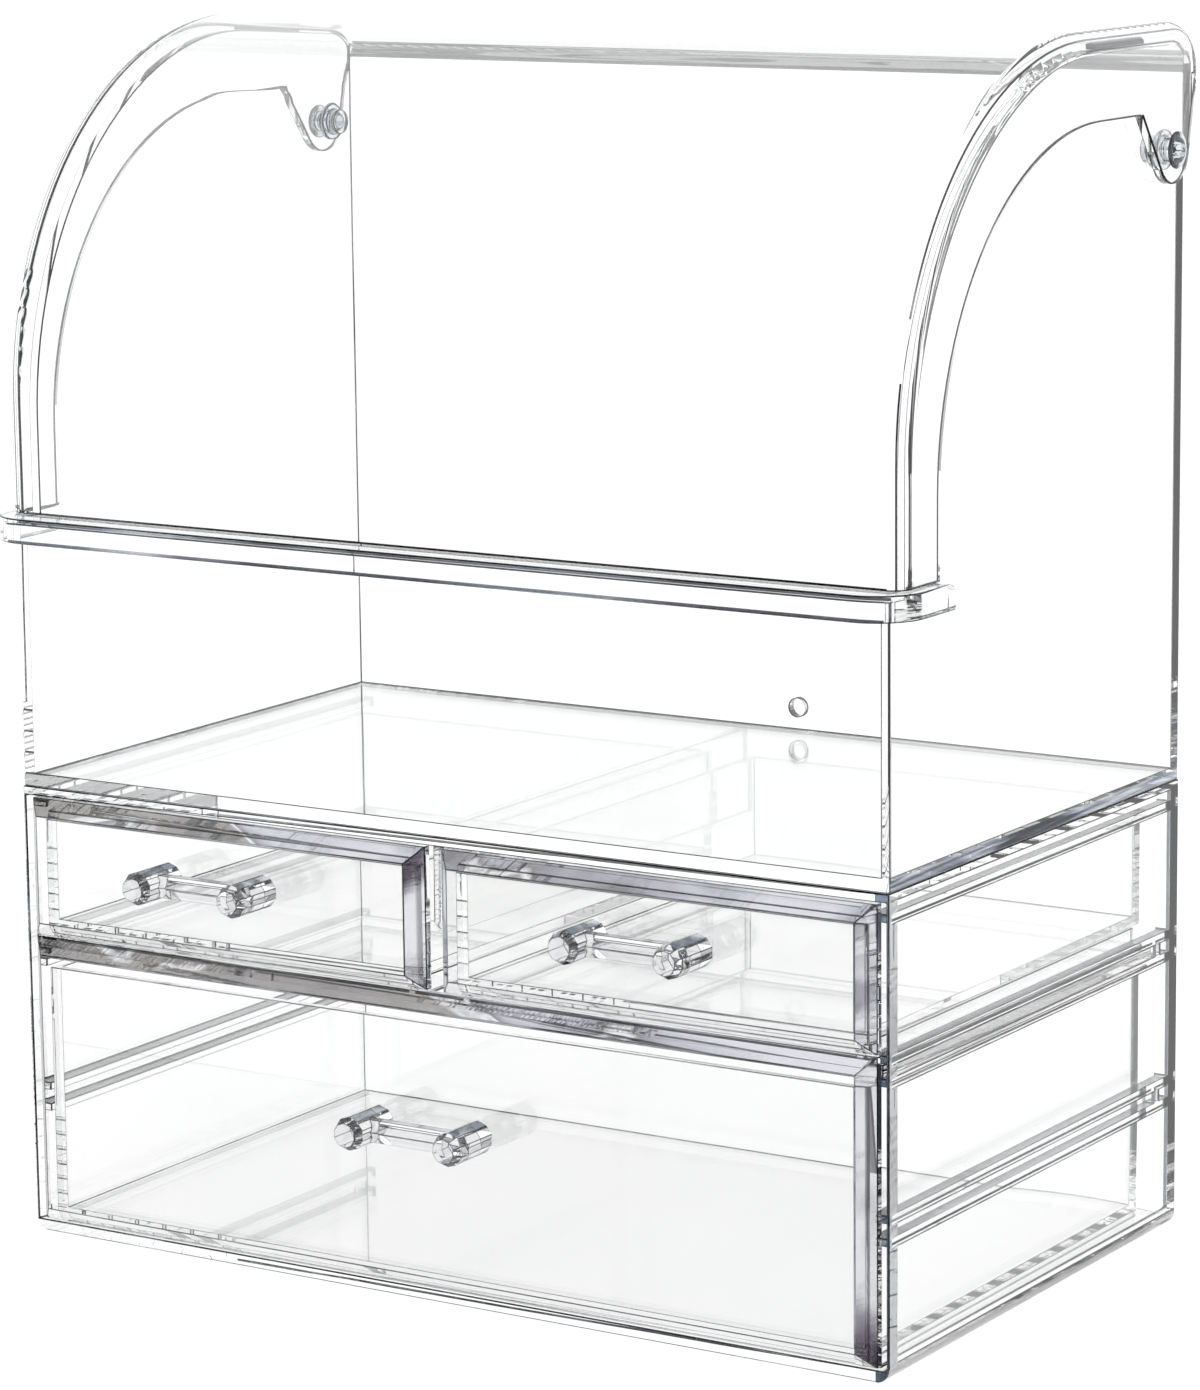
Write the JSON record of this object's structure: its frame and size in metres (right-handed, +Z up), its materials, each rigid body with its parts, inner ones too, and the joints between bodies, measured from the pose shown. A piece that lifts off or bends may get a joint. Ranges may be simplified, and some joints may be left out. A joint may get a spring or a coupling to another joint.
{
  "type": "cosmetics organizer box",
  "caption": "Clear countertop vanity organizer: drawers below, an open display tray above, under a curved swing-up dustproof hood.",
  "frame": {"origin": "centre of the case's underside, on the surface the organizer stands on", "axes": "+X to the right seen from the drawer fronts, +Y to the back, +Z up"},
  "size_m": [0.252, 0.1649, 0.293],
  "materials": {
    "clear_case": "clear polystyrene, polished mould",
    "clear_tray": "clear polystyrene, polished mould",
    "clear_hood": "clear polystyrene, polished mould",
    "clear_drawer": "clear polystyrene, polished mould",
    "clear_handle": "clear polystyrene, polished facets",
    "clear_pad": "smoky clear soft plastic",
    "clear_pin": "grey clear plastic"
  },
  "bodies": {
    "cabinet": {"case_shell": "clear_case", "middle_shelf": "clear_case", "centre_divider": "clear_case", "display_tray": "clear_tray", "stop_block_left": "clear_pad", "stop_block_right": "clear_pad", "hinge_pin_left": "clear_pin", "hinge_pin_right": "clear_pin", "hinge_cap_left": "clear_pin", "hinge_cap_right": "clear_pin"},
    "hood": {"hood_shell": "clear_hood", "hood_rim": "clear_hood"},
    "upper_left_drawer": {"upper_left_box": "clear_drawer", "upper_left_front": "clear_drawer", "upper_left_handle": "clear_handle"},
    "upper_right_drawer": {"upper_right_box": "clear_drawer", "upper_right_front": "clear_drawer", "upper_right_handle": "clear_handle"},
    "lower_drawer": {"lower_box": "clear_drawer", "lower_front": "clear_drawer", "lower_handle": "clear_handle"}
  },
  "joints": [
    {"name": "hood_hinge", "type": "hinge", "parent": "cabinet", "child": "hood", "pos_m": [0, 0.06, 0.26355], "axis": [-1, 0, 0], "range_deg": [0, 105]},
    {"name": "upper_left_slide", "type": "slide", "parent": "cabinet", "child": "upper_left_drawer", "axis": [0, -1, 0], "range_m": [0, 0.11]},
    {"name": "upper_right_slide", "type": "slide", "parent": "cabinet", "child": "upper_right_drawer", "axis": [0, -1, 0], "range_m": [0, 0.11]},
    {"name": "lower_slide", "type": "slide", "parent": "cabinet", "child": "lower_drawer", "axis": [0, -1, 0], "range_m": [0, 0.11]}
  ]
}
